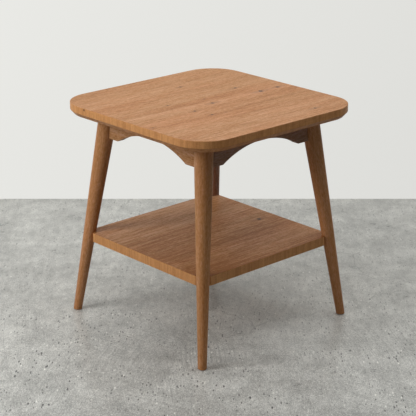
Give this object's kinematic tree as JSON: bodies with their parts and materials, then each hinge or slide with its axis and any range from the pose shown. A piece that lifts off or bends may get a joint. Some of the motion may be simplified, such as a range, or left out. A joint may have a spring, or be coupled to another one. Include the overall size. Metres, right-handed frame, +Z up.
{
  "type": "end table",
  "caption": "Square end table with a lower shelf: splayed round tapered legs, arched aprons, a thick top with large round corners and a bevelled underside.",
  "frame": {"origin": "on the floor, under the middle of the top", "axes": "+Z up; X along the grain of the top; -Y is the front, -X the left. The table is the same from all four sides apart from the grain"},
  "size_m": [0.5, 0.5, 0.524],
  "materials": {
    "top_wood": "satin lacquered warm brown hardwood, grain along X",
    "shelf_wood": "satin lacquered warm brown hardwood, grain along X",
    "leg_wood": "satin lacquered warm brown hardwood, grain along the leg",
    "apron_wood": "satin lacquered warm brown hardwood, grain along the board",
    "block_wood": "sawn and sanded pale hardwood, unfinished",
    "dowel_wood": "plain beech dowel",
    "screw_steel": "zinc plated",
    "bolt_steel": "zinc plated",
    "glide_plastic": "matt dark brown"
  },
  "bodies": {
    "root": {"apron_back": "apron_wood", "apron_front": "apron_wood", "apron_left": "apron_wood", "apron_right": "apron_wood", "block_apron_screws": "screw_steel", "block_top_screws": "screw_steel", "corner_block_back_left": "block_wood", "corner_block_back_right": "block_wood", "corner_block_front_left": "block_wood", "corner_block_front_right": "block_wood", "foot_glide_back_left": "glide_plastic", "foot_glide_back_right": "glide_plastic", "foot_glide_front_left": "glide_plastic", "foot_glide_front_right": "glide_plastic", "leg_back_left": "leg_wood", "leg_back_right": "leg_wood", "leg_bolt_nuts": "bolt_steel", "leg_bolt_washers": "bolt_steel", "leg_bolts": "bolt_steel", "leg_front_left": "leg_wood", "leg_front_right": "leg_wood", "shelf_dowels": "dowel_wood", "shelf_panel": "shelf_wood", "top_panel": "top_wood"}
  },
  "joints": []
}
